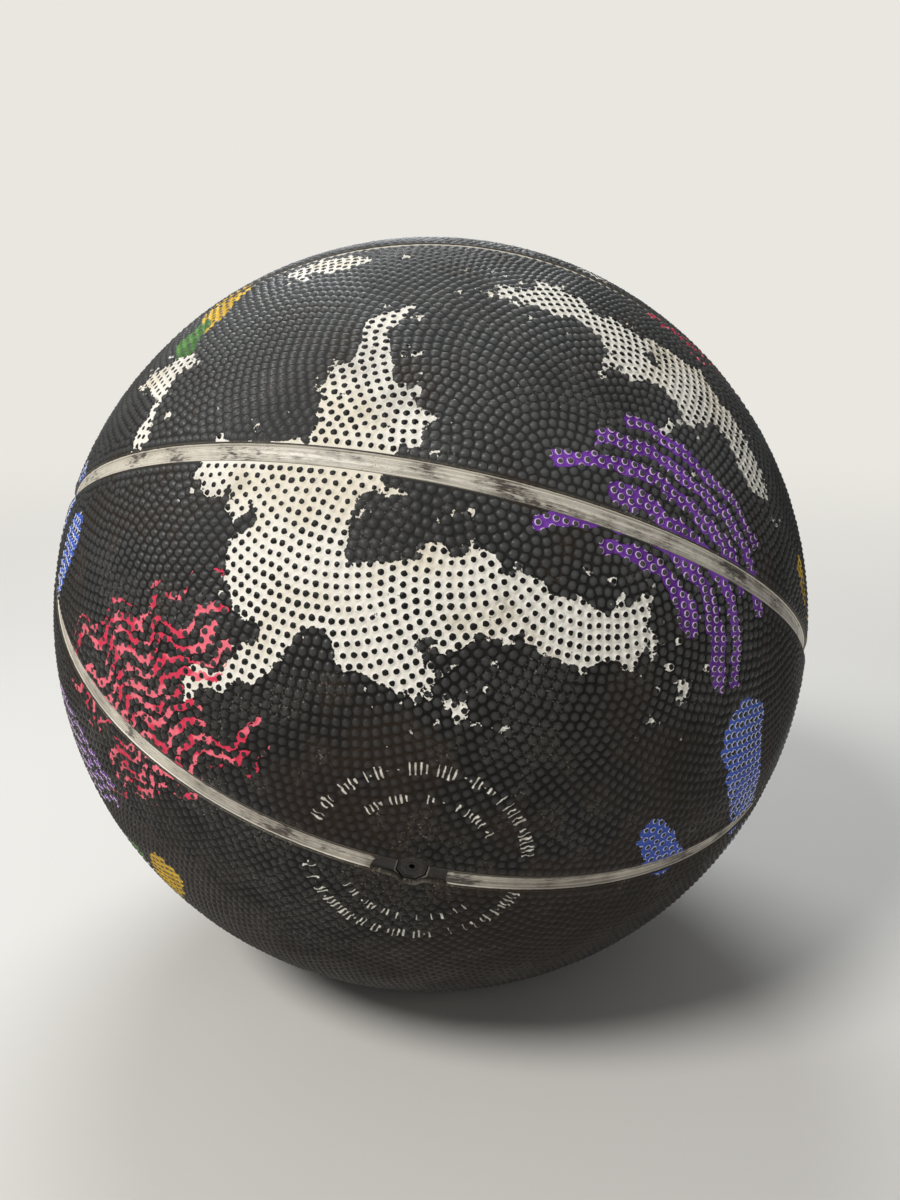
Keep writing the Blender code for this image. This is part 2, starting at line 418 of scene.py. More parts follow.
def ground_strips(owner, vertex_of, number_of_points):
    """Strips of ground across the sides that two triangles of the layout share, as quads and triangles.

    A strip that ends on the fence is a triangle, because both its corners there are one vertex.
    """
    start = np.arange(len(owner))
    end = start - start % 3 + (start % 3 + 1) % 3
    low, high = np.minimum(owner[start], owner[end]), np.maximum(owner[start], owner[end])
    key = low * (number_of_points + 1) + high
    by_key = np.argsort(key, kind="stable")
    shared = np.flatnonzero(key[by_key][1:] == key[by_key][:-1])
    one, two = by_key[shared], by_key[shared + 1]
    strips = np.stack([vertex_of[end[two]], vertex_of[start[two]],
                       vertex_of[end[one]], vertex_of[start[one]]], 1)
    first_fence, last_fence = strips[:, 0] == strips[:, 3], strips[:, 1] == strips[:, 2]
    triangles = np.concatenate([strips[first_fence & ~last_fence][:, :3],
                                strips[last_fence & ~first_fence][:, [0, 1, 3]]])
    return strips[~first_fence & ~last_fence], triangles


def cover_values(made, vertices, luck, fence_start, sides):
    """What the cover's material reads at each vertex: its pebble's luck, how strong the painted highlight on
    the lip is, how deep it lies in the print, and two sets of soft noise."""
    # How strongly each row of the border carries the painted highlight along the lip
    rubbed_and_lip_highlight = np.zeros(len(vertices))
    rubbed_and_lip_highlight[fence_start:fence_start + len(BORDER_LIP_HIGHLIGHT) * sides] = np.repeat(BORDER_LIP_HIGHLIGHT, sides)
    set_values(made, "lip", rubbed_and_lip_highlight)
    set_values(made, "chance", luck)
    places = RADIUS_MM * unit(vertices) @ SEAM_FRAME.T
    for word, field in print_fields(places).items():
        field[fence_start + 2 * sides:] = -FIELD_LIMIT     # no print on the walls and the underside
        set_values(made, word, field)
    for word, size, seed in (("drift", 60, 5), ("stain", 14, 6)):
        set_values(made, word, rolling(places, size, seed) + 0.6 * rolling(places, size * 0.4, seed + 2))


def panel(name, middles, gaps, ring, rng):
    """A pebbled cover panel: a closed slab with a dome on every pebble's middle.

    Each pebble has a round foot on the ground, a shoulder ring and a top.  Its foot has a point towards
    each neighbouring triangle of the layout, so the ground between is one small triangle for each of
    those and a narrow strip for each of their sides.  The border is rounded over into the channel's wall.
    """
    count = len(middles)
    ahead = np.roll(ring, -1, 0) - np.roll(ring, 1, 0)
    outwards = unit(np.cross(ahead, ring))
    fence = shifted(ring, outwards, -FENCE_BACK)
    points = np.concatenate([middles, fence])
    faces = flat_triangles(points, count)
    pebble, corner, towards, reach, angle, following = pebble_corners(middles, points, faces)
    number = len(corner)

    # A pebble is smaller where another stands close by, and its foot stays inside its own ground
    size = np.minimum(1.0, 1.13 * gaps / PITCH) * rng.uniform(0.95, 1.03, count)
    tall = PEBBLE_HEIGHT * size * rng.uniform(PEBBLE_LOWEST, 1 + PEBBLE_UNEVEN, count)
    foot_reach = np.minimum(PEBBLE_FOOT * PITCH * size[pebble], 0.93 * reach)
    shoulder_reach = PEBBLE_SHOULDER / PEBBLE_FOOT * foot_reach
    base = middles[pebble]
    foot = shifted(base, towards, foot_reach[:, None]) * RADIUS
    shoulder = shifted(base, towards, shoulder_reach[:, None])
    shoulder = shoulder * (RADIUS + SHOULDER_HEIGHT * tall[pebble])[:, None]
    top = middles * (RADIUS + tall)[:, None]

    # The border goes over the lip, down the channel's wall and under the slab
    rows = [fence * RADIUS]
    rows += [shifted(ring, outwards, out) * (RADIUS - down) for out, down in BORDER_ROWS]
    sides = len(ring)
    under = middles[::11]     # the underside is coarser, with a point under every eleventh pebble
    rim = shifted(ring, outwards, WALL_RUN)
    under_faces = flat_triangles(np.concatenate([under, rim]), len(under))[:, ::-1]
    vertices = np.concatenate([foot, shoulder, top, *rows, under * (RADIUS - UNDERSIDE_DEPTH)])
    fence_start = 2 * number + count
    under_start = fence_start + len(rows) * sides

    owner = faces.ravel()
    vertex_of = np.empty(len(owner), int)
    vertex_of[corner] = np.arange(number)
    on_fence = owner >= count
    vertex_of[on_fence] = owner[on_fence] - count + fence_start
    ground = vertex_of.reshape(-1, 3)
    strip_quads, strip_triangles = ground_strips(owner, vertex_of, len(points))

    here = np.arange(number)
    flanks = np.stack([here, following, number + following, number + here], 1)
    caps = np.stack([number + here, number + following, 2 * number + pebble], 1)
    border = np.arange(sides)
    after = (border + 1) % sides
    walls = [np.stack([fence_start + i * sides + border, fence_start + (i + 1) * sides + border,
                       fence_start + (i + 1) * sides + after, fence_start + i * sides + after], 1)
             for i in range(len(rows) - 1)]
    under_vertex = np.where(under_faces < len(under), under_start + under_faces,
                            under_start - sides + under_faces - len(under))
    quads = np.concatenate([flanks, strip_quads, *walls])
    triangles = np.concatenate([caps, ground, strip_triangles, under_vertex])
    made = mesh_object(name, placed(vertices), quads, triangles)

    # Where a face corner lies on its pebble, in pitches from its middle; off the pebbles it is (1, 0)
    turn = np.stack([np.cos(angle), np.sin(angle)], 1)
    on_pebble = np.concatenate([turn * foot_reach[:, None], turn * shoulder_reach[:, None]]) / PITCH
    off = np.tile([1.0, 0.0], (4 * len(quads) - 4 * number, 1))
    rest = np.tile([1.0, 0.0], (3 * len(triangles) - 3 * number, 1))
    cap_uv = np.stack([on_pebble[caps[:, 0]], on_pebble[caps[:, 1]], 0 * turn], 1).reshape(-1, 2)
    set_uv(made, "pebble", np.concatenate([on_pebble[flanks.ravel()], off, cap_uv, rest]))
    luck = rng.random(count)
    luck = np.concatenate([luck[pebble], luck[pebble], luck, np.full(len(vertices) - fence_start, 0.5)])
    cover_values(made, vertices, luck, fence_start, sides)
    return made


def all_panels():
    """The eight cover panels, named by where they lie."""
    middles, gaps = pebble_middles()
    rng = np.random.default_rng(5)
    inside = seam_distances(middles)[2][0] < 0
    made = []
    for front in (1, -1):
        for up in (1, -1):
            for inner in (True, False):
                mine = (np.sign(middles[:, 2]) == front) & (np.sign(middles[:, 1]) == up) & (inside == inner)
                words = ("front" if front > 0 else "back", "upper" if up > 0 else "lower",
                         "inner" if inner else "outer", "panel")
                edge = panel_edge(inner, up, front)
                made.append(panel("_".join(words), middles[mine], gaps[mine], edge, rng))
    return made


def rounded_profile(corners, radius):
    """A profile of (radius, height, eight-sidedness) stations with each inner corner rounded.

    A corner is replaced by three points of a parabola that leaves both its sides at the radius, or at
    a third of the side where that is less.
    """
    corners = np.array(corners, float)
    before, corner, after = corners[:-2], corners[1:-1], corners[2:]

    def back_towards(other):
        side = other - corner
        length = np.linalg.norm(side[:, :2], axis=1)
        return corner + side * np.minimum(radius / length, 1 / 3)[:, None]

    start, end = back_towards(before), back_towards(after)
    start[:, 2] = end[:, 2] = corner[:, 2]
    middle = (start + 2 * corner + end) / 4
    bends = np.stack([start, middle, end], 1).reshape(-1, 3)
    return np.concatenate([corners[:1], bends, corners[-1:]])


def turned(name, profile, steps):
    """A profile carried round the valve's axis and closed at both poles.

    A point is axis * height + radius * (along * cos t + across * sin t), heights being from the ball's
    middle.  Where a station is eight-sided, its radius is multiplied by cos(pi/8) / cos(u), with u the
    angle from the middle of the nearest flat.
    """
    profile = np.asarray(profile, float)
    turn = np.arange(steps) / steps * 2 * math.pi
    eighth = math.pi / 4
    flat = math.cos(eighth / 2) / np.cos((turn + eighth / 2) % eighth - eighth / 2)
    reach = profile[1:-1, :1] * (1 + profile[1:-1, 2:] * (flat - 1))
    ways = np.outer(np.cos(turn), VALVE_ALONG) + np.outer(np.sin(turn), VALVE_ACROSS)
    body = VALVE * profile[1:-1, 1][:, None, None] + reach[:, :, None] * ways
    poles = np.outer(profile[[0, -1], 1], VALVE)
    vertices = np.concatenate([body.reshape(-1, 3), poles])
    rows = len(profile) - 2
    here = np.arange(steps)
    beside = (here + 1) % steps
    row = np.arange(rows - 1)[:, None] * steps
    quads = np.stack([row + here, row + beside, row + steps + beside, row + steps + here], 2).reshape(-1, 4)
    last = (rows - 1) * steps
    fans = np.concatenate([np.stack([beside, here, np.full(steps, rows * steps)], 1),
                           np.stack([last + here, last + beside, np.full(steps, rows * steps + 1)], 1)])
    return mesh_object(name, placed(vertices), quads, fans)


def carcass():
    """The ball under its cover: outside, valve recess, bore, boss and hollow, from far pole to far pole."""
    outer = RADIUS - CHANNEL_DEPTH - CARCASS_GAP
    inner = RADIUS - WALL
    edge = math.asin(RECESS_RADIUS / outer)
    blend = np.concatenate([np.linspace(math.pi, 0.16, 40), np.linspace(0.14, edge + 0.004, 6)])
    outside = np.stack([outer * np.sin(blend), outer * np.cos(blend), np.clip(1.4 - 8 * blend, 0, 1)], 1)
    floor = RADIUS + RECESS_FLOOR
    seat = rounded_profile([
        outside[-1],
        (RECESS_RADIUS, math.sqrt(outer ** 2 - RECESS_RADIUS ** 2), 1),
        (RECESS_RADIUS, floor, 1),
        (BORE_RADIUS, floor, 0),
        (BORE_RADIUS, RADIUS + BOSS_END, 0),
        (BOSS_NECK_RADIUS, RADIUS + BOSS_END, 0),
        (BOSS_NECK_RADIUS, RADIUS + BOSS_SHOULDER, 0),
        (BOSS_RADIUS, RADIUS - WALL - 0.0004, 0),
        (BOSS_RADIUS + 0.004, RADIUS - WALL - 0.00085, 0),
    ], TURNED_ROUNDING)
    back = np.linspace(0.14, math.pi, 24)
    hollow = np.stack([inner * np.sin(back), inner * np.cos(back), 0 * back], 1)
    outside[0, 0] = hollow[-1, 0] = 0
    return turned("carcass", np.concatenate([outside[:-1], seat, hollow]), TURNED_STEPS)


def plug():
    """The self-sealing plug: bulb, stem and a dished eight-sided head with a lip round the needle's hole."""
    bulb = BOSS_END - FIT_GAP
    stations = [
        (0.0, PLUG_TIP, 0), (PLUG_TIP_RADIUS, PLUG_TIP, 0), (BULB_RADIUS, bulb - BULB_HEIGHT, 0),
        (BULB_RADIUS, bulb, 0), (STEM_RADIUS, bulb, 0), (STEM_RADIUS, HEAD_UNDERSIDE, 0),
        (HEAD_RADIUS, HEAD_UNDERSIDE, 1), (HEAD_RADIUS, HEAD_TOP - 0.00020, 1),
        (HEAD_RADIUS - 0.00030, HEAD_TOP - 0.00018, 1), (HEAD_RADIUS - 0.00062, HEAD_TOP - 0.00062, 1),
        (0.0022, HEAD_TOP - 0.00070, 0.3), (0.00140, HEAD_TOP - 0.00072, 0),
        (0.00118, HEAD_TOP - 0.00050, 0), (0.00096, HEAD_TOP - 0.00050, 0), (0.00078, HEAD_TOP - 0.00058, 0),
        (NEEDLE_RADIUS, HEAD_TOP - FUNNEL_DEPTH, 0), (NEEDLE_RADIUS, NEEDLE_BOTTOM, 0),
        (0.0, NEEDLE_BOTTOM, 0),
    ]
    profile = rounded_profile(stations, TURNED_ROUNDING)
    profile[:, 1] += RADIUS
    return turned("self_sealing_plug", profile, TURNED_STEPS)


def paint_strip(name, line, closed, crossings, start=0.0, end=0.0, rounded=0.0, step=0.0, u_start=0.0,
                margin_from=NO_MARGIN):
    """Worn paint in a channel: a thin closed strip carried along a line of unit points.

    Its cross profile is PAINT_ALONG, and goes over to PAINT_CROSSING near each crossing, given as a share of
    the line's length, where there is no wall to climb.  The start may have rounded corners, and all but one
    edge of the end may stop short by a step.  Its UV map, in mm along and across, begins at u_start, and
    its margin value is above zero on one side, past margin_from, where a painted shadow of the lip and a
    painted lit lip band take the place of the paint's colour.
    """
    def both_sides(half):
        return np.concatenate([half[:0:-1] * (-1, 1), half, [PAINT_UNDER, PAINT_UNDER * (-1, 1)]]) / 1000

    path = np.concatenate([line, line[:1]]) if closed else line
    run = np.concatenate([[0], np.cumsum(np.linalg.norm(np.diff(path, axis=0), axis=1))]) * RADIUS
    first, last = start, run[-1] - end
    crossings = np.array(crossings) * run[-1]
    flat, climbed = CROSSING_FLAT, CROSSING_FLAT + CLIMB
    extra = (crossings[:, None] + (-climbed, -flat, flat, climbed)).ravel()
    if rounded:
        extra = np.concatenate([extra, first + rounded * np.array([0.1, 0.3, 0.6, 1.0, 2.0])])
    extra = extra[(extra > first) & (extra < last)]
    stations = np.linspace(first, last, int(round((last - first) / PAINT_STEP)) + 1)
    crowded = np.abs(stations[:, None] - extra).min(1) < 0.2 * PAINT_STEP
    crowded[[0, -1]] = False
    stations = np.sort(np.concatenate([stations[~crowded], extra]))
    if closed:
        stations = stations[:-1]
    lift = np.clip((np.abs(stations[:, None] - crossings).min(1) - flat) / CLIMB, 0, 1)
    narrow = np.ones(len(stations))
    if rounded:
        lift = np.minimum(lift, np.clip((stations - first) / (2 * rounded), 0, 1))
        left = np.clip(rounded - (stations - first), 0, None)
        narrow = 1 - (rounded - np.sqrt(rounded ** 2 - left ** 2)) / (CHANNEL_FLOOR / 2)
    lift = lift[:, None, None]
    profile = both_sides(PAINT_CROSSING) * (1 - lift) + both_sides(PAINT_ALONG) * lift
    across, height = profile[:, :, 0] * narrow[:, None], profile[:, :, 1]
    columns = across.shape[1]
    late = np.clip((stations - last) / STEP_RUN + 1, 0, 1)
    short = np.isin(np.arange(columns), (0, 1, 2, 3, 4, 5, columns - 1), invert=True)
    at = stations[:, None] - late[:, None] * step * short
    centre = unit(np.stack([np.interp(at, run, path[:, k]) for k in range(3)], 2))
    ahead = unit(np.stack([np.interp(at + 0.0005, run, path[:, k]) - np.interp(at - 0.0005, run, path[:, k])
                           for k in range(3)], 2))
    side = np.cross(ahead, centre)
    turn = (across / RADIUS)[:, :, None]
    vertices = unit(centre * np.cos(turn) + side * np.sin(turn)) * (RADIUS + height)[:, :, None]
    rows = len(stations)
    row = np.arange(rows if closed else rows - 1)[:, None] * columns
    following = (row + columns) % (rows * columns)
    column = np.arange(columns)
    beside = (column + 1) % columns     # the last three faces close the strip underneath
    quads = np.stack([row + column, row + beside, following + beside, following + column], 2).reshape(-1, 4)
    caps = np.zeros((0, 3), int)
    if not closed:
        top = np.arange(columns - 3)
        under = np.where(top < len(top) // 2, columns - 1, columns - 2)
        last_one = [[len(top) // 2, columns - 2, columns - 1]]
        fan = np.concatenate([np.stack([top, top + 1, under], 1), last_one])
        caps = np.concatenate([fan[:, ::-1], fan + (rows - 1) * columns])
    made = mesh_object(name, placed(vertices.reshape(-1, 3)), quads, caps)
    u = np.stack([at * 1000 + u_start, across * 1000], 2).reshape(-1, 2)
    corner_uv = u[quads]
    if closed:
        corner_uv[-columns:, 2:, 0] += run[-1] * 1000
    set_uv(made, "strip", np.concatenate([corner_uv.reshape(-1, 2), u[caps].reshape(-1, 2)]))
    set_values(made, "lip_shadow_margin", (-margin_from - across * 1000).ravel())
    return made


def channel_paint():
    """The paint of the four channels.  The loops and the side line stop at the middle line's edges."""
    meet = PAINT_MEET
    turn = np.linspace(0, 2 * math.pi, 1441)[:-1]
    middle_line = np.stack([np.sin(turn), 0 * turn, -np.cos(turn)], 1)
    tip = LOOP_REACH / (2 * math.pi)
    crossed = (tip, 0.25, 0.5 - tip, 0.5 + tip, 0.75, 1 - tip)
    made = [paint_strip("middle_channel_paint", middle_line, True, crossed)]
    half = np.linspace(0, math.pi, 1441)
    for words, up in (("upper", 1), ("lower", -1)):
        side_line = np.stack([np.cos(half), up * np.sin(half), 0 * half], 1)
        made.append(paint_strip("side_" + words + "_channel_paint", side_line, False, (0, 1), meet, meet))
        for depth, side in (("front", 1), ("back", -1)):
            if up < 0 < side:
                # left of the valve the paint breaks off in a step, right of it it ends rounded
                left = loop_line(-np.linspace(math.pi, math.pi / 2, 1441), side)
                right = loop_line(-np.linspace(math.pi / 2, 0, 1441), side)
                made.append(paint_strip("front_lower_left_channel_paint", left, False, (0,), meet, LEFT_BREAK,
                                        step=LEFT_STEP, margin_from=FRONT_MARGIN))
                made.append(paint_strip("front_lower_right_channel_paint", right, False, (1,), RIGHT_BREAK,
                                        meet, rounded=RIGHT_ROUNDING, u_start=300,
                                        margin_from=FRONT_MARGIN))
            else:
                name = depth + "_" + words + "_channel_paint"
                made.append(paint_strip(name, loop_line(up * half, side), False, (0, 1), meet, meet))
    return made


# ---------------------------------------------------------------- shading tools

def tone(red, green, blue):
    """A colour written on the usual 0 to 255 scale, as the linear values that shaders take."""
    scaled = (np.array([red, green, blue]) / 255.0).tolist()
    return (*[c / 12.92 if c <= 0.04045 else ((c + 0.055) / 1.055) ** 2.4 for c in scaled], 1.0)


class Wiring:
    """Adds nodes to one tree.  Values given to a node are numbers, vectors or the outputs of others."""

    def __init__(self, tree):
        self.tree = tree

    def add(self, kind, inputs=None, output=0, **settings):
        made = self.tree.nodes.new(kind)
        for key, value in settings.items():
            setattr(made, key, value)
        for key, value in (inputs or {}).items():
            self.feed(made.inputs[key], value)
        return made.outputs[output]

    def feed(self, socket, value):
        if isinstance(value, bpy.types.NodeSocket):
            self.tree.links.new(value, socket)
        else:
            socket.default_value = value

    def math(self, operation, *values):
        return self.add("ShaderNodeMath", dict(enumerate(values)), operation=operation)

    def times(self, first, second):
        return self.math("MULTIPLY", first, second)

    def plus(self, first, second):
        return self.math("ADD", first, second)

    def minus(self, first, second):
        return self.math("SUBTRACT", first, second)

    def centred(self, value, width):
        """A value of 0 to 1, made to run from minus half the width to plus half of it."""
        return self.times(self.minus(value, 0.5), width)

    def off_by(self, value, target):
        """How far a value is from its target, either way."""
        return self.math("ABSOLUTE", self.minus(value, target))

    def vector(self, operation, *values):
        output = "Value" if operation in ("DOT_PRODUCT", "LENGTH") else "Vector"
        return self.add("ShaderNodeVectorMath", dict(enumerate(values)), output, operation=operation)

    def dot(self, first, second):
        return self.vector("DOT_PRODUCT", first, second)

    def scaled(self, vector, factor):
        return self.add("ShaderNodeVectorMath", {0: vector, "Scale": factor}, operation="SCALE")

    def split(self, vector):
        made = self.tree.nodes.new("ShaderNodeSeparateXYZ")
        self.feed(made.inputs[0], vector)
        return made.outputs[0], made.outputs[1], made.outputs[2]

    def joined(self, x, y):
        return self.add("ShaderNodeCombineXYZ", {0: x, 1: y})

    def blend(self, factor, first, second):
        return self.add("ShaderNodeMix", {0: factor, 6: first, 7: second}, 2, data_type="RGBA")

    def span(self, value, low, high, out_low=0.0, out_high=1.0):
        """Goes smoothly from out_low to out_high while the value goes from low to high."""
        return self.add("ShaderNodeMapRange", {0: value, 1: low, 2: high, 3: out_low, 4: out_high},
                        interpolation_type="SMOOTHSTEP")

    def noise(self, place, scale, detail, roughness):
        return self.add("ShaderNodeTexNoise", {"Vector": place, "Scale": scale, "Detail": detail,
                                               "Roughness": roughness}, "Fac")

    def cells(self, place, scale):
        """Scattered cells: the distance to the nearest one's middle, and three random values of its own."""
        made = self.tree.nodes.new("ShaderNodeTexVoronoi")
        self.feed(made.inputs["Vector"], place)
        self.feed(made.inputs["Scale"], scale)
        return made.outputs["Distance"], self.split(made.outputs["Color"])

    def attribute(self, name, output="Fac"):
        return self.add("ShaderNodeAttribute", output=output, attribute_name=name)

    def bump(self, strength, distance, height):
        return self.add("ShaderNodeBump", {"Strength": strength, "Distance": distance, "Height": height})

    def group(self, tree, output=0, **values):
        """Places a node group; its inputs are named by the values' names, with _ for a space."""
        made = self.tree.nodes.new("ShaderNodeGroup")
        made.node_tree = tree
        for key, value in values.items():
            self.feed(made.inputs[key.replace("_", " ").capitalize()], value)
        return made.outputs if output is None else made.outputs[output]


def new_group(name, inputs, outputs):
    """An empty node group with named sockets: its tree, its wiring, its inputs and its result sockets."""
    tree = bpy.data.node_groups.new(name, "ShaderNodeTree")
    kinds = {"f": "NodeSocketFloat", "v": "NodeSocketVector"}
    for words, way in ((inputs, "INPUT"), (outputs, "OUTPUT")):
        for word, kind in words.items():
            tree.interface.new_socket(word, in_out=way, socket_type=kinds[kind])
    given = tree.nodes.new("NodeGroupInput").outputs
    result = tree.nodes.new("NodeGroupOutput").inputs
    return tree, Wiring(tree), given, result


def grain_group():
    """The fine skin of moulded rubber: a height for bump, and patches, 0 to 1, from a wide noise given."""
    tree, w, given, result = new_group("rubber grain", {"Place": "v", "Wide": "f"},
                                       {"Height": "f", "Patches": "f"})
    w.feed(result["Height"], w.noise(given["Place"], 3.5, 1.0, 0.6))
    w.feed(result["Patches"], w.span(given["Wide"], -1.2, 1.2))
    return tree


def grime_group():
    """What has settled on the ball, with painted shade: masks for brown dirt, pale dust and small bright
    specks.

    Low is 1 in grooves, where dirt lies.  Wide and Fine are soft noises of about -1 to 1: they lay the dirt
    in patches, and the dust elsewhere.  The dirt grows towards the bottom of the ball, which is painted shade
    and warm light reflected from below.
    """
    tree, w, given, result = new_group("grime", {"Place": "v", "Low": "f", "Wide": "f", "Fine": "f"},
                                       {"Dirt_and_low_shade": "f", "Dust": "f", "Specks": "f"})
    place = given["Place"]
    # Painted shade and warm reflected light: the dirt grows towards the bottom of the ball
    painted_low_shade = w.span(w.split(place)[2], 50.0, -90.0, -0.6, 1.9)
    laid = w.plus(w.math("MULTIPLY_ADD", given["Fine"], 0.5, given["Wide"]), painted_low_shade)
    dirt = w.times(w.span(laid, -0.2, 1.8), w.span(given["Low"], 0.0, 1.0, 0.4, 1.0))
    w.feed(result["Dirt_and_low_shade"], dirt)
    film = w.span(w.noise(place, 1.6, 2.0, 0.7), 0.42, 0.75)
    w.feed(result["Dust"], w.times(w.span(w.minus(given["Fine"], given["Wide"]), -0.3, 1.5), film))
    distance, luck = w.cells(place, 0.30)
    size = w.span(luck[0], 0.72, 1.0, -0.02, 0.055)
    w.feed(result["Specks"], w.span(w.minus(size, distance), 0.0, 0.012))
    return tree


# ---------------------------------------------------------------- the print

# Each dab: from (azimuth, elevation) to (azimuth, elevation), then its half width at both ends in mm.
# Azimuth 0 faces -Y and grows to the right, elevation grows upwards, both in degrees.
WHITE_DABS = [
    (-14, 22, -2, 14, 20, 17), (-14, 24, -30, 30, 14, 7), (-8, 30, -6, 44, 12, 7), (2, 16, 22, 10, 13, 8),
    (22, 10, 32, 2, 8, 3.5), (-18, 12, -30, 2, 9, 4), (-4, 6, 0, -4, 9, 5), (-6, 44, 4, 52, 6, 3),
    (34, 44, 46, 36, 13, 10), (34, 46, 16, 58, 9, 4), (46, 36, 54, 20, 8, 4), (40, 36, 32, 28, 6, 2.5),
    (-52, 40, -46, 32, 7, 5), (-40, 60, -20, 64, 6, 4),
    (112, 20, 126, 4, 20, 15), (112, 22, 96, 34, 11, 5), (126, 4, 142, -10, 9, 4), (120, 8, 112, -14, 8, 4),
    (-118, 30, -106, 12, 17, 13), (-106, 12, -92, -4, 9, 4), (-120, 30, -140, 38, 9, 4),
    (-112, 16, -126, -2, 8, 4),
    (176, 38, 190, 26, 18, 13), (190, 26, 206, 8, 9, 4), (176, 40, 160, 54, 10, 5), (180, 30, 172, 8, 8, 4),
    (80, -32, 96, -40, 12, 7), (-60, -34, -74, -42, 10, 6), (170, -36, 186, -42, 12, 7),
    (70, 66, 100, 74, 11, 6),
]
BARE_DABS = [
    (-4, 19, 11, 27, 8, 7), (-22, 22, -26, 18, 3.5, 2), (6, 10, 10, 4, 3, 1.6), (40, 42, 42, 38, 4, 2.5),
    (118, 12, 122, 8, 5, 3), (-112, 22, -110, 18, 4.5, 3), (184, 30, 186, 26, 5, 3),
]
BLUE_DABS = [
    (42, -6, 50, -20, 10, 6.5), (29, -16, 32, -22, 5.5, 6.5), (56, -26, 56, -32, 5, 3.6),
    (-58, 18, -62, 10, 6, 4), (-66, 24, -70, 16, 6, 4), (150, 30, 156, 22, 7, 5),
    (-150, -8, -154, -18, 7, 5), (-166, 6, -168, 0, 5, 4), (84, -6, 88, -14, 7, 5),
    (-86, 44, -96, 40, 7, 5), (-90, -22, -94, -28, 5, 4),
]
YELLOW_DABS = [
    (-62, 56, -52, 50, 7.5, 5), (-44, -28, -50, -34, 7, 5), (70, 4, 74, -4, 7, 5), (62, 12, 64, 8, 4, 3),
    (146, -26, 154, -30, 8, 6), (-134, 56, -124, 60, 7, 5), (100, 50, 108, 48, 6, 4),
    (-170, -26, -176, -30, 6, 5),
]
GREEN_DABS = [
    (-54, 48, -50, 44, 5, 3), (-54, -28, -58, -33, 4.5, 3.5), (158, -32, 162, -36, 6, 4),
    (78, 22, 80, 18, 4, 3), (-126, 62, -116, 64, 5, 3),
]
# Arc sweeps: centre, the way its arcs face, radius, half length, half width, all in mm or degrees
PURPLE_SWEEPS = [
    (14, 2, 48, 54, 52, 17), (-70, -30, 60, 44, 30, 11), (150, 64, -30, 48, 44, 15),
    (-100, -30, 70, 50, 40, 13), (100, -44, 50, 40, 36, 11),
]
# Waves: centre, the turn of its strokes, half length, half width
RED_WAVES = [
    (-36, 0, 24, 38, 23), (70, 44, -36, 26, 10), (-150, 22, -30, 30, 12), (134, -12, 30, 26, 10),
]
SWEEP_STROKES = (6.2, 0.62, 0.3)     # spacing in mm, painted share, shortest share of the half length
WAVE_STROKES = (4.2, 0.42, 0.3)
WAVE_HEIGHT, WAVE_LENGTH = 2.2, 17
VALVE_CLEAR = 33              # the print stays about this many mm off the valve
WHITE_CLEAR = 7               # and the white this much further
FIELD_LIMIT = 30              # fields are cut off at this many mm, on both sides of zero
# Rings of marks round the valve: radius, half height, number of ticks, share broken off, and the sine of
# the angle where its arcs end
MARK_RINGS = ((26.0, 1.6, 126, 0.10, 0.2), (18.6, 1.1, 96, 0.20, 0.6))
MARKS_ALONG, MARKS_ABOVE = 0.6, 2.6     # mm from the valve to the rings' middle

# The grey is painted shade round each pebble's foot in the white print
WHITE, CREAM, FOOT_SHADE_GREY = tone(236, 232, 222), tone(226, 218, 200), tone(160, 156, 150)
PURPLE, PURPLE_DEEP, PURPLE_RING = tone(122, 64, 172), tone(94, 42, 136), tone(226, 204, 228)
RED, RED_PALE = tone(214, 54, 84), tone(236, 112, 128)
BLUE, BLUE_DEEP, BLUE_RING = tone(66, 102, 208), tone(48, 74, 164), tone(228, 232, 242)
YELLOW, YELLOW_DEEP = tone(228, 188, 58), tone(182, 142, 38)
GREEN, GREEN_DEEP = tone(96, 146, 72), tone(50, 84, 40)
MARK = tone(222, 217, 206)
# The dirt's brown also serves as painted shade and warm reflected light towards the bottom
DIRT_AND_LOW_SHADE, DUST, SPECK = tone(45, 33, 22), tone(170, 165, 156), tone(205, 200, 190)
BACKGROUND = tone(234, 231, 225)


def spot(azimuth, elevation):
    """A point of the ball's surface, in mm from its middle."""
    a, e = math.radians(azimuth), math.radians(elevation)
    return RADIUS_MM * np.array([math.sin(a) * math.cos(e), -math.cos(a) * math.cos(e), math.sin(e)])


def tangents(centre, turn):
    """Two unit tangents at a point: the first level and to the right, turned anticlockwise by the angle."""
    out = unit(centre)
    level = unit(np.cross((0, 0, 1), out))
    up = np.cross(out, level)
    a = math.radians(turn)
    return level * math.cos(a) + up * math.sin(a), up * math.cos(a) - level * math.sin(a)


def rolling(places, size, seed):
    """Soft noise, about -1 to 1 in each of three parts: each is the sum of nine sine waves of about the
    size in mm, over 3, every wave with its own random direction."""
    rng = np.random.default_rng(seed)
    total = np.zeros((len(places), 3))
    for part in range(3):
        waves = unit(rng.normal(size=(9, 3))) * rng.uniform(0.6, 1.5, (9, 1)) * 2 * math.pi / size
        total[:, part] = np.sin(places @ waves.T + rng.uniform(0, 2 * math.pi, 9)).sum(1) / 3
    return total


def dabs_field(places, dabs, softness):
    """The joined field of dabs: the soft maximum of each one's half width less the distance from its line."""
    field = np.full(len(places), -99.0)
    for a0, e0, a1, e1, start, end in dabs:
        first, last = spot(a0, e0), spot(a1, e1)
        line = last - first
        share = np.clip((places - first) @ line / (line @ line), 0, 1)
        gap = np.linalg.norm(places - first - share[:, None] * line, axis=1)
        one = start + (end - start) * share - gap
        near = np.clip(softness - np.abs(field - one), 0, None) / softness
        field = np.maximum(field, one) + near ** 2 * softness / 4
    return field


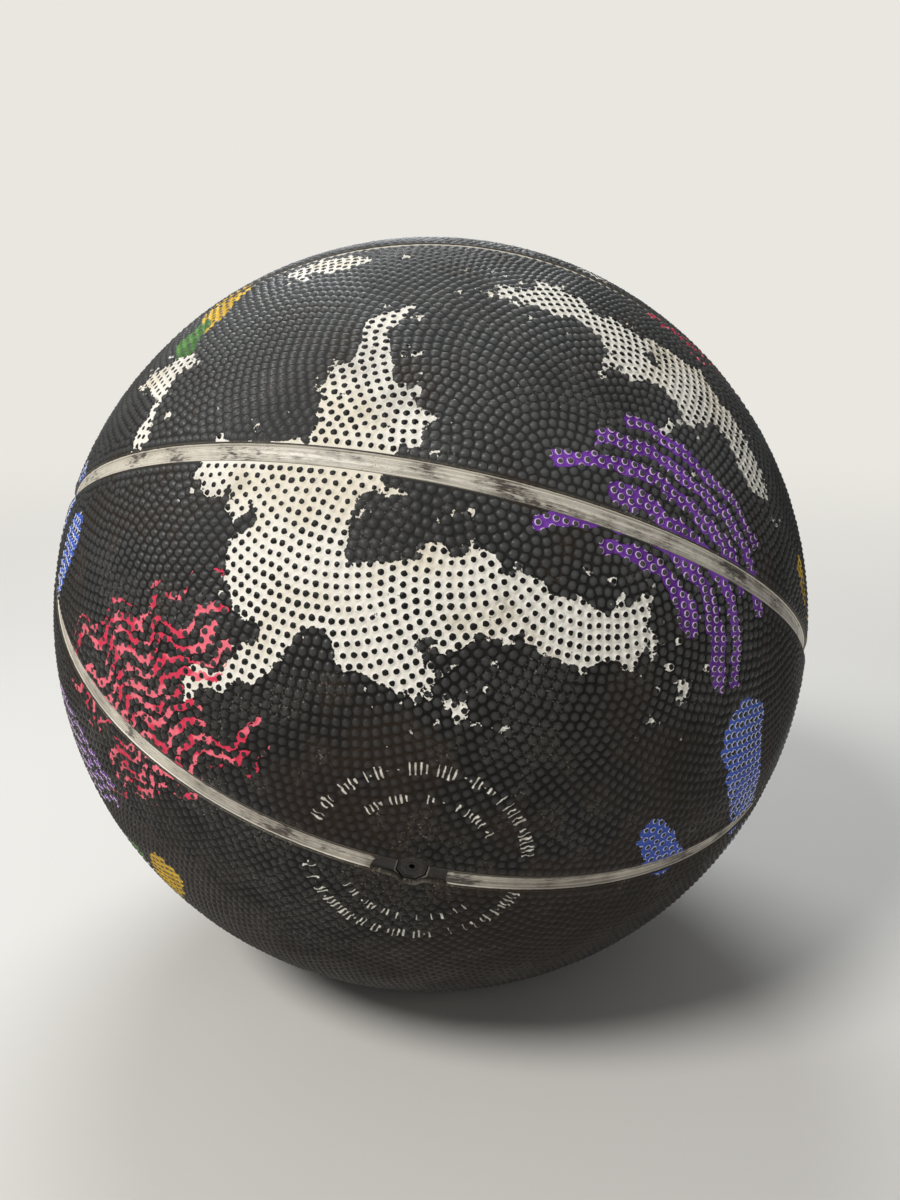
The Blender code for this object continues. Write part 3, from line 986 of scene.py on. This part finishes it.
def strokes_field(along, across, half_length, half_width, strokes, seed):
    """Field of a row of parallel strokes.

    Across is cut into bands of the spacing, each painted over its share, and both ends of each band stop
    at their own random distance along, from shortest to 1 times the half length.
    """
    spacing, cover, shortest = strokes
    luck = np.random.default_rng(seed).uniform(shortest, 1, (2, 64))
    band = across / spacing
    index = np.floor(band).astype(int) % 64
    stroke = (cover / 2 - np.abs(band - np.floor(band) - 0.5)) * spacing
    end = half_length * luck[(along > 0).astype(int), index] - np.abs(along)
    return np.minimum(np.minimum(stroke, end), half_width - np.abs(across))


def print_fields(places):
    """For each colour, how deep each place lies inside its splashes or strokes, in mm.

    Places are in mm from the ball's middle, on its surface.  They are first pushed about by soft noise, so
    that outlines wander and strokes waver.
    """
    push = rolling(places, 75, 1) * 4.5 + rolling(places, 31, 2) * 3.0 + rolling(places, 13, 3) * 1.7
    fine = rolling(places, 6.5, 4)
    pushed = places + push + fine * 0.7
    stirred = places + push * 0.3 + fine * 0.25
    valve = RADIUS_MM * SEAM_FRAME @ VALVE
    clear = np.linalg.norm(places - valve, axis=1) - VALVE_CLEAR + push[:, 0] * 0.3
    white = np.minimum(dabs_field(pushed, WHITE_DABS, 5.0), -dabs_field(pushed, BARE_DABS, 3.0))
    fields = {"white": np.minimum(white, clear - WHITE_CLEAR),
              "blue": dabs_field(stirred, BLUE_DABS, 3.0),
              "yellow": dabs_field(stirred, YELLOW_DABS, 3.0),
              "green": dabs_field(stirred, GREEN_DABS, 3.0)}
    purple, red = [], []
    for seed, (azimuth, elevation, facing, radius, half_length, half_width) in enumerate(PURPLE_SWEEPS):
        centre = spot(azimuth, elevation)
        start, side = tangents(centre, facing)
        offset = stirred - centre
        turn = np.arctan2(offset @ side, offset @ start)
        purple.append(strokes_field(turn * radius, np.linalg.norm(offset, axis=1) - radius, half_length,
                                    half_width, SWEEP_STROKES, 20 + seed))
    for seed, (azimuth, elevation, facing, half_length, half_width) in enumerate(RED_WAVES):
        centre = spot(azimuth, elevation)
        ahead, side = tangents(centre, facing)
        offset = places + push * 0.35 + fine * 0.5 - centre
        along = offset @ ahead
        across = offset @ side + WAVE_HEIGHT * np.sin(along * 2 * math.pi / WAVE_LENGTH)
        near = 80 - np.linalg.norm(offset, axis=1)     # not on the ball's far side as well
        strokes = strokes_field(along, across, half_length, half_width, WAVE_STROKES, 40 + seed)
        red.append(np.minimum(strokes, near))
    fields["purple"] = np.max(purple, 0)
    fields["red"] = np.max(red, 0)
    return {word: np.clip(np.minimum(field, clear), -FIELD_LIMIT, FIELD_LIMIT)
            for word, field in fields.items()}


def marks_group():
    """Worn marks round the valve: two rings of short radial ticks, each broken into an upper and a lower arc.

    The rings' middle lies a little above the valve.  The field, in mm, is the least of a tick's half width
    less the distance from its middle line, its half height less the distance from its ring, and how far
    inside its arc it lies.
    """
    tree, w, given, result = new_group("valve marks", {"Place": "v"}, {"Field": "f"})
    valve, along, across = (Vector((SEAM_FRAME @ way).tolist())
                            for way in (VALVE * RADIUS_MM, VALVE_ALONG, VALVE_ACROSS))
    middle = valve + MARKS_ALONG * along + MARKS_ABOVE * across
    offset = w.vector("SUBTRACT", given["Place"], middle)
    reach = w.vector("LENGTH", offset)
    angle = w.math("ARCTAN2", w.dot(offset, across), w.dot(offset, along))
    marks = None
    for ring, half_height, count, broken, ends in MARK_RINGS:
        turn = w.times(angle, count / (2 * math.pi))
        luck = w.add("ShaderNodeTexWhiteNoise", {"W": w.math("FLOOR", turn)}, "Value", noise_dimensions="1D")
        off_middle = w.off_by(w.math("FRACT", turn), 0.5)
        bar = w.times(w.minus(0.15, off_middle), 2 * math.pi * ring / count)
        height = w.minus(w.span(luck, broken, 0.6, -0.3, half_height), w.off_by(reach, ring))
        sides = w.times(w.minus(w.math("ABSOLUTE", w.math("SINE", angle)), ends), 10.0)
        one = w.math("MINIMUM", w.math("MINIMUM", bar, height), sides)
        marks = one if marks is None else w.math("MAXIMUM", marks, one)
    w.feed(result["Field"], marks)
    return tree


# ---------------------------------------------------------------- materials

def from_middle(w):
    """Object coordinates from the ball's middle, in metres."""
    return w.vector("SUBTRACT", w.add("ShaderNodeTexCoord", output="Object"), tuple(MIDDLE.tolist()))


def ball_place(w):
    """Object coordinates as the direction from the ball's middle, brought out to the radius in mm."""
    return w.scaled(w.vector("NORMALIZE", from_middle(w)), RADIUS_MM)


def new_material(name):
    """A material with its Principled shader, ready to be fed."""
    material = bpy.data.materials.new(name)
    material.use_nodes = True
    shader = material.node_tree.nodes["Principled BSDF"]
    return material, Wiring(material.node_tree), shader


def soil_and_low_shade(w, grime, colour, strength=1.0):
    """A colour under pale dust, specks and brown dirt, which towards the bottom is painted shade."""
    colour = w.blend(w.times(grime["Dirt_and_low_shade"], 0.7 * strength), colour, DIRT_AND_LOW_SHADE)
    colour = w.blend(w.times(grime["Dust"], 0.08 * strength), colour, DUST)
    return w.blend(w.times(grime["Specks"], 0.7 * strength), colour, SPECK)


def spatter(w, place, field):
    """Field of small flung drops within some 6 mm of a splash whose own field is given."""
    distance, luck = w.cells(place, 0.22)
    drop = w.times(w.minus(w.span(luck[1], 0.5, 1.0, -0.05, 0.22), distance), 4.5)
    return w.math("MINIMUM", drop, w.plus(field, 6.0))


def cover_rubber(w, on_pebble, low, up, patches, uneven):
    """The bare rubber: dark, its pebbles' tops lighter with painted shade down their flanks, and a painted
    sheen on the ball's upper side.

    The ground between the pebbles is painted shade, darkest towards the bottom and lighter towards the top.
    The panels' lips carry a painted highlight.
    """
    # Painted shade: each pebble's top is lighter and its flank darker down to the foot
    rubber = w.blend(w.span(on_pebble, 0.06, 0.40), tone(53, 52, 51), tone(37, 36, 35))
    # Painted sheen: lighter towards the top of the ball, standing in for the bright room's reflection
    rubber = w.blend(w.span(up, -30.0, 95.0, 0.0, 0.22), rubber, tone(150, 153, 152))
    # Painted shade in the ground between the pebbles, darkest towards the bottom and lighter towards the top
    rubber = w.blend(low, rubber, w.blend(w.span(up, 0.0, 80.0), tone(8, 7, 6), tone(48, 49, 49)))
    rubber = w.blend(w.times(patches, 0.4), rubber, tone(25, 23, 21))
    # Painted highlight along the panels' lips, in patches
    rubbed_and_lip_highlight = w.times(w.attribute("lip"), w.span(uneven, 0.3, 0.6, 0.35, 0.8))
    return w.blend(rubbed_and_lip_highlight, rubber, tone(104, 98, 87))


def print_colours(w, white, ring, shade):
    """Each colour of the print, from the first layer to the last, with how ragged its outlines are.

    Blue and purple are pale in a ring round each pebble's bare top.
    """
    blue = w.blend(w.times(shade, 0.4), BLUE, BLUE_DEEP)
    purple = w.blend(w.times(shade, 0.9), PURPLE, PURPLE_DEEP)
    return {
        "white": (white, 1.0),
        "blue": (w.blend(w.times(ring, 0.85), blue, BLUE_RING), 0.4),
        "yellow": (w.blend(w.times(shade, 0.6), YELLOW, YELLOW_DEEP), 0.4),
        "green": (w.blend(w.times(shade, 0.6), GREEN, GREEN_DEEP), 0.5),
        "purple": (w.blend(w.times(ring, 0.85), purple, PURPLE_RING), 0.45),
        "red": (w.blend(w.span(shade, 0.4, 0.7), RED, RED_PALE), 0.5),
        "marks": (MARK, 0.12),
    }


def cover_material(groups):
    """Pebbled black rubber, with the print lying in the grooves and worn off the pebbles' tops.

    The tops bared in the white are darker than the other rubber.  The marks round the valve are worn less
    than the rest, and least in their upper half.  Printed places show less of the dirt and its painted low
    shade.
    """
    material, w, shader = new_material("printed_cover_rubber")
    place = ball_place(w)
    up = w.split(place)[2]
    on_pebble = w.vector("LENGTH", w.add("ShaderNodeUVMap", uv_map="pebble"))
    chance = w.attribute("chance")
    wide, worn, cream = w.split(w.attribute("drift", "Vector"))
    fine, shade, bald = w.split(w.attribute("stain", "Vector"))
    grain = w.group(groups["grain"], None, place=place, wide=cream)
    low = w.span(on_pebble, 0.31, 0.49)
    grime = w.group(groups["grime"], None, place=place, low=low, wide=wide, fine=fine)
    ragged = w.plus(w.centred(w.noise(place, 0.42, 3.0, 0.7), 5.0), w.centred(chance, 1.3))

    # How far out from its middle a pebble is worn bare: it differs from pebble to pebble
    uneven = w.noise(place, 1.5, 2.0, 0.5)
    worn_bare_and_lip_shade = w.plus(w.centred(uneven, 0.16), w.centred(chance, 0.05))
    worn_bare_and_lip_shade = w.plus(worn_bare_and_lip_shade, w.span(w.math("MULTIPLY_ADD", bald, 0.5, worn), -0.8, 1.4, 0.245, 0.300))
    past = w.minus(on_pebble, worn_bare_and_lip_shade)
    kept = w.span(past, -0.012, 0.012)
    spared = w.span(up, -74.0, -52.0, 0.04, 0.26)
    kept_marks = w.span(w.plus(past, spared), -0.012, 0.012)
    ring = w.times(kept, w.span(w.plus(past, w.centred(uneven, 0.12)), 0.085, 0.06))
    whole = w.span(w.noise(place, 0.34, 4.0, 0.75), 0.69, 0.675)

    white = w.blend(w.span(w.math("MULTIPLY_ADD", fine, 0.5, cream), -0.4, 1.8), WHITE, CREAM)
    # Painted shade: a grey ring round each pebble's foot in the white
    foot = w.times(w.span(on_pebble, 0.41, 0.46), w.span(on_pebble, 0.9, 0.5, 0.0, 0.4))
    white = w.blend(foot, white, FOOT_SHADE_GREY)
    colour = cover_rubber(w, on_pebble, low, up, grain["Patches"], uneven)
    printed = None
    for word, (paint, raggedness) in print_colours(w, white, ring, w.span(shade, -1.2, 1.2)).items():
        if word == "marks":
            field = w.group(groups["marks"], place=place)
        else:
            field = w.attribute(word)
        if word == "white":
            field = w.math("MAXIMUM", field, spatter(w, place, field))
        field = w.math("MULTIPLY_ADD", ragged, raggedness, field)
        inside = w.span(field, -0.10, 0.10)
        if word == "white":
            colour = w.blend(inside, colour, tone(20, 19, 18))
        left = kept_marks if word == "marks" else kept
        mask = w.times(w.times(inside, left), whole)
        colour = w.blend(mask, colour, paint)
        printed = mask if printed is None else w.math("MAXIMUM", printed, mask)
    caught = w.times(w.times(low, grime["Dust"]), w.span(uneven, 0.55, 0.62, 0.0, 0.5))
    soiled = w.blend(caught, soil_and_low_shade(w, grime, colour), tone(178, 172, 160))
    w.feed(shader.inputs["Base Color"], w.blend(w.times(printed, 0.6), soiled, colour))

    sheen = w.span(grain["Patches"], 0.3, 0.7, 0.34, 0.46)
    matt = w.math("MAXIMUM", w.math("MAXIMUM", grime["Dirt_and_low_shade"], printed), low)
    w.feed(shader.inputs["Roughness"], w.plus(sheen, w.times(matt, 0.16)))
    w.feed(shader.inputs["Specular IOR Level"], 0.19)
    w.feed(shader.inputs["Normal"], w.bump(0.5, 0.00004, grain["Height"]))
    return material


def soft_noises(w, place):
    """A wide and a finer noise, about -1 to 1, as the cover carries them in its own attributes."""
    wide = w.math("MULTIPLY_ADD", w.noise(place, 0.03, 2.0, 0.6), 6.0, -3.0)
    fine = w.math("MULTIPLY_ADD", w.noise(place, 0.14, 3.0, 0.6), 6.0, -3.0)
    return wide, fine


def recess_highlight_and_shade(w, place):
    """Two masks: a painted highlight on the rim of the eight-sided recess, and painted shade in the corner
    inside it round the dish.

    The distance from the valve's axis is taken square to the nearest flat: the greatest of |x|, |y| and
    (|x| + |y|) / sqrt 2.
    """
    valve, along, across = (Vector((SEAM_FRAME @ way).tolist()) for way in (VALVE, VALVE_ALONG, VALVE_ACROSS))
    x = w.math("ABSOLUTE", w.dot(place, along))
    y = w.math("ABSOLUTE", w.dot(place, across))
    slant = w.times(w.plus(x, y), math.sqrt(0.5))
    reach = w.math("MAXIMUM", w.math("MAXIMUM", x, y), slant)
    out = w.dot(place, valve)
    rim = 1000 * RECESS_RADIUS * math.cos(math.pi / 8)
    edge = w.span(w.off_by(reach, rim), 0.40, 0.25)
    corner = w.span(w.off_by(reach, rim - 0.60), 0.62, 0.30)
    return w.times(edge, w.span(out, 118.75, 118.90)), w.times(corner, w.span(out, 118.92, 118.80))


def bare_material(groups, name, pale, dark, roughness):
    """Smooth moulded rubber without print, for the carcass and the plug."""
    material, w, shader = new_material(name)
    place = w.scaled(from_middle(w), 1000.0)
    wide, fine = soft_noises(w, place)
    grain = w.group(groups["grain"], None, place=place, wide=fine)
    grime = w.group(groups["grime"], None, place=place, low=0.8, wide=wide, fine=fine)
    colour = w.blend(w.span(grain["Patches"], 0.35, 0.65), pale, dark)
    rim, corner = recess_highlight_and_shade(w, place)
    # Painted shade in the recess's inner corner round the dish
    colour = w.blend(w.times(corner, 0.75), colour, tone(14, 13, 12))
    # Painted highlight along the recess's rim, in patches
    colour = w.blend(w.times(rim, w.span(fine, -1.0, 0.2, 0.35, 0.85)), colour, tone(150, 142, 128))
    w.feed(shader.inputs["Base Color"], soil_and_low_shade(w, grime, colour))
    w.feed(shader.inputs["Roughness"], w.span(grain["Patches"], 0.3, 0.7, roughness, roughness + 0.12))
    w.feed(shader.inputs["Normal"], w.bump(0.4, 0.00005, grain["Height"]))
    return material


def channel_material(groups):
    """Worn silver-cream paint, drawn out in streaks along the channel and rubbed dark in places."""
    def streaky(along_scale, across_scale, detail, roughness):
        stretched = w.joined(w.times(along, along_scale), w.times(across, across_scale))
        return w.noise(stretched, 1.0, detail, roughness)

    material, w, shader = new_material("worn_channel_paint")
    place = ball_place(w)
    along, across, _ = w.split(w.add("ShaderNodeUVMap", uv_map="strip"))
    wide, patchy = soft_noises(w, place)
    grime = w.group(groups["grime"], None, place=place, low=0.6, wide=wide, fine=patchy)
    grain = w.group(groups["grain"], None, place=place, wide=wide)
    streaks = streaky(0.03, 1.5, 2.0, 0.5)
    dashes = streaky(0.40, 3.2, 2.0, 0.6)
    worn = streaky(0.06, 0.10, 4.0, 0.65)
    aside = w.math("ABSOLUTE", across)
    x, _, z = w.split(place)
    pale = w.blend(w.span(x, 70.0, -90.0), tone(140, 136, 130), tone(188, 180, 163))
    # Browner towards the bottom: painted warm light reflected from below
    pale = w.blend(w.span(z, 0.0, -80.0), pale, tone(150, 131, 106))
    colour = w.blend(w.span(streaks, 0.36, 0.64, 0.0, 0.6), tone(220, 213, 198), pale)
    smudged = w.span(w.math("MULTIPLY_ADD", streaks, 0.3, worn), 0.58, 0.76)
    smudged = w.times(smudged, w.span(x, -70.0, 20.0, 0.2, 0.6))
    colour = w.blend(smudged, colour, tone(104, 97, 88))
    scratched = w.times(w.span(worn, 0.42, 0.60, 0.25, 1.0), w.span(aside, 1.7, 1.2))
    scratched = w.times(scratched, w.span(dashes, 0.50, 0.60))
    colour = w.blend(w.times(scratched, 0.8), colour, tone(84, 72, 58))
    rubbed_and_lip_highlight = w.span(w.math("MULTIPLY_ADD", dashes, 0.35, worn), 0.74, 0.80)
    colour = w.blend(w.times(rubbed_and_lip_highlight, 0.85), colour, tone(52, 46, 41))
    flecks = w.times(w.span(grain["Height"], 0.62, 0.68), w.span(patchy, -0.6, 0.8, 0.1, 0.7))
    colour = w.blend(flecks, colour, tone(92, 82, 70))
    line = w.minus(0.12, w.off_by(aside, 1.45))
    edge = w.times(w.span(line, 0.0, 0.10), w.span(streaks, 0.35, 0.6, 0.55, 0.1))
    colour = w.blend(edge, colour, tone(74, 64, 54))
    # Painted shade towards the foot of each wall
    colour = w.blend(w.span(aside, 1.75, 1.95, 0.0, 0.35), colour, tone(96, 88, 78))
    # Painted highlight along the walls that the paint climbs
    colour = w.blend(w.times(w.span(aside, 2.05, 2.12), 0.9), colour, tone(228, 220, 205))
    colour = w.blend(w.span(w.math("MULTIPLY_ADD", dashes, 0.16, aside), 2.27, 2.33), colour,
                     tone(30, 27, 25))

    # Where a strip has a margin, its colour is a painted shadow of the lip's overhang along the paint's edge,
    # then past it a painted lit band for the lip
    worn_bare_and_lip_shade = w.math("MULTIPLY_ADD", w.minus(dashes, 0.5), 0.3, w.attribute("lip_shadow_margin"))
    margin = w.blend(w.span(worn_bare_and_lip_shade, 0.20, 0.30), tone(24, 21, 18), tone(104, 94, 80))
    colour = w.blend(w.span(worn_bare_and_lip_shade, -0.04, 0.04), colour, margin)
    w.feed(shader.inputs["Base Color"], soil_and_low_shade(w, grime, colour, 0.6))
    w.feed(shader.inputs["Roughness"], w.span(streaks, 0.3, 0.7, 0.34, 0.52))
    height = w.plus(w.times(scratched, -0.7), w.times(rubbed_and_lip_highlight, -0.8))
    height = w.plus(height, w.times(grain["Height"], 0.3))
    w.feed(shader.inputs["Normal"], w.bump(0.5, 0.00005, height))
    return material


def floor_material():
    """A plain pale floor, which far out takes the background's colour in view, so that no edge shows."""
    material, w, shader = new_material("studio_floor")
    place = w.add("ShaderNodeTexCoord", output="Object")
    w.feed(shader.inputs["Base Color"],
           w.blend(w.noise(place, 3.0, 3.0, 0.5), tone(222, 219, 214), tone(227, 224, 219)))
    w.feed(shader.inputs["Roughness"], 0.7)
    far = w.span(w.math("DIVIDE", 1.0, w.vector("LENGTH", place)), 2.6, 0.25)
    seen = w.times(far, w.add("ShaderNodeLightPath", output="Is Camera Ray"))
    glow = w.add("ShaderNodeEmission", {"Color": BACKGROUND, "Strength": 1.0})
    mixed = w.add("ShaderNodeMixShader", {0: seen, 1: shader.outputs[0], 2: glow})
    w.feed(material.node_tree.nodes["Material Output"].inputs["Surface"], mixed)
    return material


# ---------------------------------------------------------------- the scene

FLOOR_REACH = 30.0
COOL = (0.93, 0.97, 1.0)
ROOM_STRENGTH = 0.19
LAMPS = (     # name, place in metres, size across, power in watts, colour
    ("key", (-0.72, -0.70, 1.10), 0.45, 16.0, (1.0, 0.985, 0.96)),
    ("fill", (0.9, -0.9, 0.45), 0.8, 0.9, (1.0, 0.97, 0.93)),
    ("back", (-0.1, 0.75, 1.2), 0.9, 11.0, COOL),
)
LENS, SENSOR_WIDTH = 28.5, 36.0     # mm
LOOKING_DOWN, LOOKING_RIGHT = 12, 1.03     # degrees
CAMERA_AWAY = 0.3264          # metres from the ball's middle
BALL_IN_VIEW = (-0.0175, -0.0127, -0.9998)     # the way to the ball's middle, seen from the camera


def studio():
    """A pale floor in a plain pale world, with three soft round lamps.

    The key stands high at the front left, a weak fill low at the front right, and the third high behind.
    """
    scene = bpy.context.scene
    reach = FLOOR_REACH
    corners = np.array([(-reach, -reach, 0), (reach, -reach, 0), (reach, reach, 0), (-reach, reach, 0)])
    floor = mesh_object("studio_floor", corners, np.array([[0, 1, 2, 3]]), np.zeros((0, 3), int))
    floor.data.materials.append(floor_material())

    world = bpy.data.worlds.new("pale_room")
    world.use_nodes = True
    scene.world = world
    w = Wiring(world.node_tree)
    seen = w.add("ShaderNodeLightPath", output="Is Camera Ray")
    room = world.node_tree.nodes["Background"]
    room.inputs["Color"].default_value = (*COOL, 1.0)
    room.inputs["Strength"].default_value = ROOM_STRENGTH
    behind = w.add("ShaderNodeBackground", {"Color": BACKGROUND, "Strength": 1.0})
    mixed = w.add("ShaderNodeMixShader", {0: seen, 1: room.outputs[0], 2: behind})
    w.feed(world.node_tree.nodes["World Output"].inputs["Surface"], mixed)

    aim = Vector(MIDDLE.tolist())
    for name, place, size, power, colour in LAMPS:
        lamp = bpy.data.lights.new(name, "AREA")
        lamp.shape = "DISK"
        lamp.size = size
        lamp.energy = power
        lamp.color = colour
        holder = bpy.data.objects.new(name, lamp)
        holder.location = place
        holder.rotation_euler = (aim - Vector(place)).to_track_quat("-Z", "Y").to_euler()
        scene.collection.objects.link(holder)
    scene.view_settings.view_transform = "Standard"


def camera():
    """A camera close in front of the ball and a little above it."""
    data = bpy.data.cameras.new("camera")
    data.lens = LENS
    data.sensor_width = SENSOR_WIDTH
    data.clip_start = 0.01
    holder = bpy.data.objects.new("camera", data)
    holder.rotation_euler = (math.radians(90 - LOOKING_DOWN), 0.0, math.radians(-LOOKING_RIGHT))
    to_ball = holder.rotation_euler.to_matrix() @ Vector(BALL_IN_VIEW)
    holder.location = Vector(MIDDLE.tolist()) - CAMERA_AWAY * to_ball
    bpy.context.scene.collection.objects.link(holder)
    bpy.context.scene.camera = holder


def dress():
    """Makes every piece, gives it its finish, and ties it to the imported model."""
    groups = {"grain": grain_group(), "grime": grime_group(), "marks": marks_group()}
    cover = cover_material(groups)
    carcass_finish = bare_material(groups, "bare_black_rubber", tone(34, 34, 35), tone(22, 21, 21), 0.42)
    plug_finish = bare_material(groups, "plug_black_rubber", tone(46, 47, 50), tone(32, 31, 31), 0.36)
    channels = channel_material(groups)
    pieces = [(made, cover) for made in all_panels()] + [(carcass(), carcass_finish)]
    pieces += [(made, channels) for made in channel_paint()]
    for made, finish in pieces:
        made.data.materials.append(finish)
        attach(made, "root")
        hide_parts("ball_shell")
    stopper = plug()
    stopper.data.materials.append(plug_finish)
    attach(stopper, "root")
    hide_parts("valve_plug")


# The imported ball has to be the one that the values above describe
far_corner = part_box("ball_shell")[1]
assert abs(far_corner[2] - (2 * RADIUS - SAG)) < 0.001 and abs(far_corner[0] - RADIUS) < 0.001
camera()
studio()
dress()
